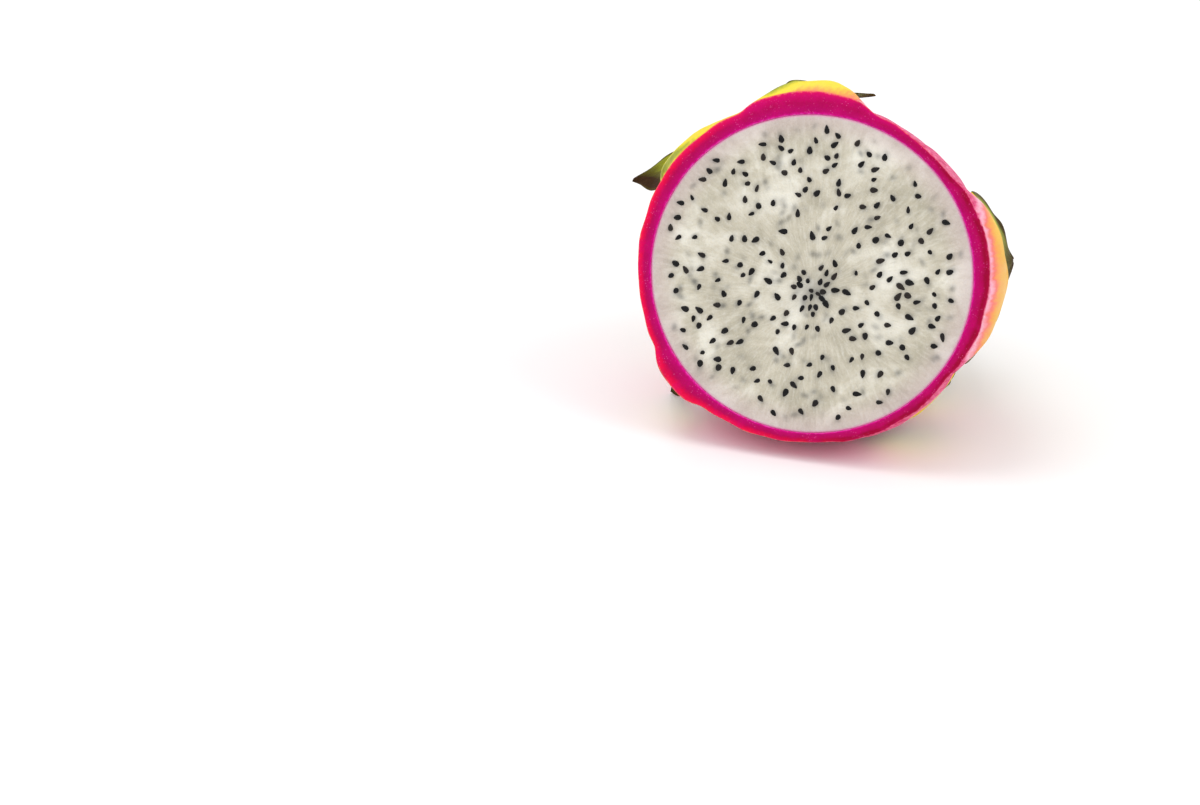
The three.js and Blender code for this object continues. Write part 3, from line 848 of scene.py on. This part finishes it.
class Paint:
    """A material's node tree, built by calls that return output sockets."""

    def __init__(self, name):
        self.material = bpy.data.materials.new(name)
        self.material.use_nodes = True
        self.tree = self.material.node_tree
        self.shader = self.tree.nodes["Principled BSDF"]

    def add(self, kind, **settings):
        node = self.tree.nodes.new(kind)
        for name, value in settings.items():
            setattr(node, name, value)
        return node

    def put(self, socket, value):
        if isinstance(value, bpy.types.NodeSocket):
            self.tree.links.new(value, socket)
        else:
            socket.default_value = value

    def attribute(self, name, output="Fac"):
        return self.add("ShaderNodeAttribute", attribute_name=name).outputs[output]

    def noise(self, place, scale, detail=4, roughness=0.55, distortion=0):
        node = self.add("ShaderNodeTexNoise")
        names = ("Vector", "Scale", "Detail", "Roughness", "Distortion")
        for name, value in zip(names, (place, scale, detail, roughness, distortion)):
            self.put(node.inputs[name], value)
        return node.outputs["Fac"]

    def cells(self, place, scale):
        """How far each place is from the nearest of scattered points."""
        node = self.add("ShaderNodeTexVoronoi")
        self.put(node.inputs["Vector"], place)
        self.put(node.inputs["Scale"], scale)
        return node.outputs["Distance"]

    def math(self, operation, a, b=0.0, c=0.0):
        node = self.add("ShaderNodeMath", operation=operation)
        for socket, value in zip(node.inputs, (a, b, c)):
            self.put(socket, value)
        return node.outputs["Value"]

    def vector(self, operation, a, b=(0, 0, 0)):
        node = self.add("ShaderNodeVectorMath", operation=operation)
        self.put(node.inputs[0], a)
        self.put(node.inputs[1], b)
        return node.outputs["Vector"]

    def component(self, vector, axis):
        node = self.add("ShaderNodeSeparateXYZ")
        self.put(node.inputs["Vector"], vector)
        return node.outputs[axis]

    def step(self, value, low, high, first=0.0, last=1.0):
        """first below low and last above high, and smooth between."""
        node = self.add("ShaderNodeMapRange", interpolation_type="SMOOTHSTEP")
        names = ("Value", "From Min", "From Max", "To Min", "To Max")
        for name, given in zip(names, (value, low, high, first, last)):
            self.put(node.inputs[name], given)
        return node.outputs["Result"]

    def mix(self, factor, a, b):
        node = self.add("ShaderNodeMix", data_type="RGBA", clamp_factor=True)
        self.put(node.inputs[0], factor)
        self.put(node.inputs[6], a)
        self.put(node.inputs[7], b)
        return node.outputs[2]

    def ramp(self, value, *stops):
        """A colour for each place between the stops, (place, colour)."""
        node = self.add("ShaderNodeValToRGB")
        elements = node.color_ramp.elements
        while len(elements) < len(stops):
            elements.new(0.5)
        for element, (place, colour) in zip(elements, stops):
            element.position = place
            element.color = colour
        self.put(node.inputs["Fac"], value)
        return node.outputs["Color"]

    def bump(self, height, strength, distance):
        node = self.add("ShaderNodeBump")
        for name, value in zip(("Height", "Strength", "Distance"), (height, strength, distance)):
            self.put(node.inputs[name], value)
        return node.outputs["Normal"]

    def finish(self, **inputs):
        """Sets the shader's own sockets, and returns the material."""
        for name, value in inputs.items():
            self.put(self.shader.inputs[name.replace("_", " ")], value)
        return self.material


def flesh_material():
    """Wet, cloudy white flesh with fine fibres that run out from the core."""
    paint = Paint("flesh")
    place = paint.attribute("place", "Vector")
    from_core = paint.vector("SUBTRACT", place, (CORE[0], 0, CORE[1]))
    way = paint.vector("NORMALIZE", from_core)
    slowly = paint.vector("MULTIPLY", place, (0.012, 0.012, 0.012))
    fibres = paint.noise(paint.vector("ADD", way, slowly), 26, detail=5, roughness=0.6)
    clouds = paint.noise(place, 0.085, detail=4, roughness=0.55, distortion=0.6)
    specks = paint.noise(place, 1.1, detail=3)

    colour = paint.ramp(
        clouds,
        (0.34, srgb(188, 181, 160)),
        (0.5, srgb(209, 202, 182)),
        (0.66, srgb(241, 237, 223)),
    )
    colour = paint.mix(paint.step(fibres, 0.42, 0.7, 0, 0.35), colour, srgb(240, 237, 226))
    colour = paint.mix(paint.step(fibres, 0.45, 0.3, 0, 0.25), colour, srgb(178, 176, 164))
    colour = paint.mix(paint.step(specks, 0.5, 0.75, 0, 0.25), colour, srgb(234, 232, 226))
    pink = paint.step(paint.attribute("edge"), 0.0, 0.2, 0.5, 0)
    colour = paint.mix(pink, colour, srgb(208, 184, 188))
    fringe = paint.step(paint.attribute("edge"), 0.0, 0.02, 0.85, 0)
    colour = paint.mix(fringe, colour, srgb(236, 120, 190))
    colour = paint.mix(paint.attribute("shade"), colour, srgb(52, 56, 60))

    grain = paint.math("MULTIPLY_ADD", fibres, 0.6, paint.noise(place, 1.7, detail=5))
    return paint.finish(
        Base_Color=colour,
        Roughness=paint.step(paint.noise(place, 0.9, detail=2), 0.35, 0.65, 0.2, 0.42),
        Normal=paint.bump(grain, 0.35, 0.0004),
        Subsurface_Weight=0.35,
        Subsurface_Radius=(1.0, 0.95, 0.85),
        Subsurface_Scale=0.003,
        Coat_Weight=0.35,
        Coat_Roughness=0.12,
    )


def cut_rind_material():
    """The cut through the rind: magenta, brighter by the flesh and redder by the skin, and darker on the
    right as painted shade.
    """
    paint = Paint("cut_rind")
    grain = paint.attribute("grain", "Vector")
    place = paint.attribute("place", "Vector")
    rim = paint.attribute("rim")
    cloud = paint.noise(place, 0.22, detail=4)
    wander = paint.math("MULTIPLY_ADD", paint.noise(place, 0.9, detail=3), 0.2, -0.1)
    across = paint.math("ADD", rim, wander)
    by_flesh = (
        (0.0, srgb(236, 90, 190)),
        (0.05, srgb(220, 0, 140)),
        (0.14, srgb(188, 0, 104)),
        (0.5, srgb(184, 0, 86)),
    )
    red = ((0.74, srgb(232, 0, 72)), (0.93, srgb(248, 20, 80)), (1.0, srgb(250, 120, 104)))
    dark = ((0.7, srgb(158, 0, 50)), (0.93, srgb(170, 0, 56)), (1.0, srgb(244, 120, 150)))
    pale = ((0.78, srgb(206, 0, 108)), (0.93, srgb(226, 10, 104)), (1.0, srgb(250, 130, 106)))
    red_side, painted_shade_side, top = (paint.ramp(across, *by_flesh, *by_skin) for by_skin in (red, dark, pale))
    # Painted shade: the right side of the cut is painted darker than the left, as if away from a light on
    # the left.
    side = paint.math("MULTIPLY_ADD", cloud, 30, paint.component(grain, "X"))
    height = paint.component(grain, "Y")
    colour = paint.mix(paint.step(side, 0, 34), red_side, painted_shade_side)
    colour = paint.mix(paint.step(height, 26, 38, 0, 0.85), colour, top)
    colour = paint.mix(paint.step(cloud, 0.45, 0.7, 0, 0.4), colour, srgb(212, 0, 116))
    colour = paint.mix(paint.step(cloud, 0.45, 0.25, 0, 0.4), colour, srgb(160, 0, 76))
    dots = paint.cells(place, 1.6)
    chosen = paint.step(paint.noise(place, 0.3, detail=1), 0.42, 0.6)
    dot = paint.math("MULTIPLY", paint.step(dots, 0.26, 0.12), chosen)
    colour = paint.mix(paint.math("MULTIPLY", dot, 0.5), colour, srgb(246, 100, 176))
    return paint.finish(
        Base_Color=colour,
        Roughness=0.36,
        Normal=paint.bump(paint.noise(place, 2.2, detail=5), 0.35, 0.0004),
        Specular_IOR_Level=0.07,
        Subsurface_Weight=0.1,
        Subsurface_Radius=(1.0, 0.15, 0.4),
        Subsurface_Scale=0.001,
        Coat_Weight=0.03,
        Coat_Roughness=0.15,
    )


def pink_skin(paint, streaks, patches):
    """Pink with lengthwise streaks and a pale bloom."""
    pink = paint.ramp(
        streaks,
        (0.3, srgb(196, 22, 88)),
        (0.46, srgb(218, 50, 112)),
        (0.6, srgb(234, 98, 146)),
        (0.76, srgb(246, 164, 192)),
    )
    return paint.mix(paint.step(patches, 0.48, 0.7, 0, 0.4), pink, srgb(240, 140, 168))


def ageing_leaf(paint, age):
    """A bract's colour as it ages: pink, orange, yellow, olive and at last brown."""
    return paint.ramp(
        age,
        (0.14, srgb(240, 96, 146)),
        (0.21, srgb(250, 180, 200)),
        (0.28, srgb(246, 124, 116)),
        (0.35, srgb(250, 168, 84)),
        (0.43, srgb(253, 218, 70)),
        (0.56, srgb(238, 220, 54)),
        (0.7, srgb(158, 164, 30)),
        (0.85, srgb(92, 88, 12)),
        (1.0, srgb(54, 31, 4)),
    )


def skin_material():
    """The skin: pink, turning orange, yellow-green and olive along the bracts, with thin dark margins
    and dry brown tips. The blades' undersides are paler where young and carry painted shade where olive."""
    paint = Paint("skin")
    grain = paint.attribute("grain", "Vector")
    place = paint.attribute("place", "Vector")
    leaf, margin, under = (paint.attribute(name) for name in ("leaf", "margin", "under"))
    streaks = paint.noise(grain, 0.9, detail=5, roughness=0.65)
    patches = paint.noise(grain, 0.16, detail=4)
    fine = paint.noise(grain, 3.5, detail=3)

    wander = paint.math("MULTIPLY_ADD", patches, 0.24, -0.12)
    lengthwise = paint.math("MULTIPLY_ADD", streaks, 0.16, -0.08)
    from_margin = paint.step(margin, 0.7, 1.0, 0, 0.24)
    age = paint.math("ADD", paint.math("ADD", leaf, wander), paint.math("ADD", lengthwise, from_margin))
    pink = pink_skin(paint, streaks, patches)
    colour = paint.mix(paint.step(age, 0.08, 0.2), pink, ageing_leaf(paint, age))
    on_flank = paint.step(paint.component(place, "X"), 36, 46, 0, 0.7)
    yellow = paint.math("MULTIPLY", paint.step(age, 0.3, 0.4), paint.step(age, 0.7, 0.56))
    colour = paint.mix(paint.math("MULTIPLY", on_flank, yellow), colour, srgb(238, 168, 92))
    # The blades' undersides: their own paler yellow, and painted shade that darkens their olive and brown.
    inside = paint.ramp(age, (0.5, srgb(222, 206, 110)), (0.7, srgb(124, 112, 34)), (0.95, srgb(52, 34, 14)))
    colour = paint.mix(paint.math("MULTIPLY", under, 0.8), colour, inside)
    colour = paint.mix(paint.step(margin, 0.86, 0.97, 0, 0.85), colour, srgb(74, 60, 12))
    spots = paint.math("MULTIPLY", paint.step(fine, 0.6, 0.7), paint.step(age, 0.5, 0.9, 0, 0.75))
    colour = paint.mix(spots, colour, srgb(84, 52, 20))

    ridges = paint.math("MULTIPLY_ADD", fine, 0.35, streaks)
    return paint.finish(
        Base_Color=colour,
        Roughness=paint.step(patches, 0.35, 0.65, 0.38, 0.56),
        Normal=paint.bump(ridges, 0.45, 0.0006),
        Specular_IOR_Level=0.06,
        Subsurface_Weight=0.1,
        Subsurface_Radius=(1.0, 0.4, 0.3),
        Subsurface_Scale=0.001,
    )


def seed_material():
    """Glossy black seed coats, a few of them brown-black."""
    paint = Paint("seed")
    place = paint.add("ShaderNodeTexCoord").outputs["Object"]
    tone = paint.attribute("tone")
    colour = paint.ramp(
        tone,
        (0.0, srgb(10, 10, 11)),
        (0.7, srgb(20, 20, 22)),
        (1.0, srgb(44, 38, 34)),
    )
    pores = paint.noise(place, 5200, detail=3)
    colour = paint.mix(paint.step(pores, 0.5, 0.7, 0, 0.3), colour, srgb(52, 50, 50))
    return paint.finish(
        Base_Color=colour,
        Roughness=0.3,
        Normal=paint.bump(pores, 0.3, 0.00006),
        Specular_IOR_Level=0.12,
        Coat_Weight=0.1,
        Coat_Roughness=0.08,
    )


def floor_material():
    """Near white and faintly glossy."""
    paint = Paint("floor")
    place = paint.add("ShaderNodeTexCoord").outputs["Object"]
    roughness = paint.step(paint.noise(place, 9, detail=3), 0.3, 0.7, 0.3, 0.38)
    return paint.finish(Base_Color=(0.96, 0.955, 0.96, 1), Roughness=roughness, Specular_IOR_Level=0.2)


# The scene round the fruit


def make_floor():
    signs = ((-1, -1), (1, -1), (1, 1), (-1, 1))
    mesh = bpy.data.meshes.new("floor")
    mesh.from_pydata([(a * FLOOR_HALF, b * FLOOR_HALF, 0) for a, b in signs], [], [(0, 1, 2, 3)])
    mesh.materials.append(floor_material())
    made = add_object("floor", mesh)


def aim(made, place, way):
    """Stands a light or the camera at a place, looking a way."""
    made.location = place
    made.rotation_mode = "QUATERNION"
    made.rotation_quaternion = way.to_track_quat("-Z", "Y")


def add_area_light(name, place, target, size, power, colour):
    data = bpy.data.lights.new(name, "AREA")
    data.shape = "DISK"
    data.size = size
    data.energy = power
    data.color = colour
    aim(add_object(name, data), place, Vector(target) - Vector(place))


def make_lights():
    """White light from all round, and soft lamps."""
    world = bpy.data.worlds.new("studio")
    world.use_nodes = True
    background = world.node_tree.nodes["Background"]
    background.inputs["Color"].default_value = (1, 1, 1, 1)
    background.inputs["Strength"].default_value = SURROUNDINGS
    bpy.context.scene.world = world
    for light in LIGHTS:
        add_area_light(*light)


def make_camera():
    """The photo's view, turned without shift so that the middle of the cut shows at its pixel."""
    azimuth, elevation = math.radians(VIEW_AZIMUTH), math.radians(VIEW_ELEVATION)
    flat = math.cos(elevation)
    back = Vector((math.sin(azimuth) * flat, -math.cos(azimuth) * flat, math.sin(elevation)))
    target = Vector(to_world((0, 0, 0)))
    focal = LENS / SENSOR * FRAME_WIDTH
    wanted_x = (FACE_PIXEL[0] - FRAME_WIDTH / 2) / focal
    wanted_y = (FRAME_HEIGHT / 2 - FACE_PIXEL[1]) / focal
    look = -back
    for _ in range(AIM_ROUNDS):
        turn = look.to_track_quat("-Z", "Y")
        seen = turn.inverted() @ -back
        error = Vector((seen.x / -seen.z - wanted_x, seen.y / -seen.z - wanted_y, 0))
        look = (look + turn @ error).normalized()

    data = bpy.data.cameras.new("camera")
    data.lens = LENS
    data.sensor_width = SENSOR
    data.clip_start = 0.01
    made = add_object("camera", data)
    aim(made, target + back * VIEW_DISTANCE, look)
    bpy.context.scene.camera = made


def main():
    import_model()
    bpy.context.scene.view_settings.view_transform = "Standard"
    make_camera()
    make_floor()
    make_lights()

    peel = make_peel([skin_material(), cut_rind_material()])
    seeds = seed_places()
    flesh = make_flesh(flesh_material(), seeds)
    seed_mesh = make_seeds(seed_material(), seeds)
    for piece, node, slot in (
        (peel, "peel", "rind"),
        (flesh, "flesh", "pulp"),
        (seed_mesh, "flesh", "seed"),
    ):
        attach(piece, "root")
        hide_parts(node)


main()
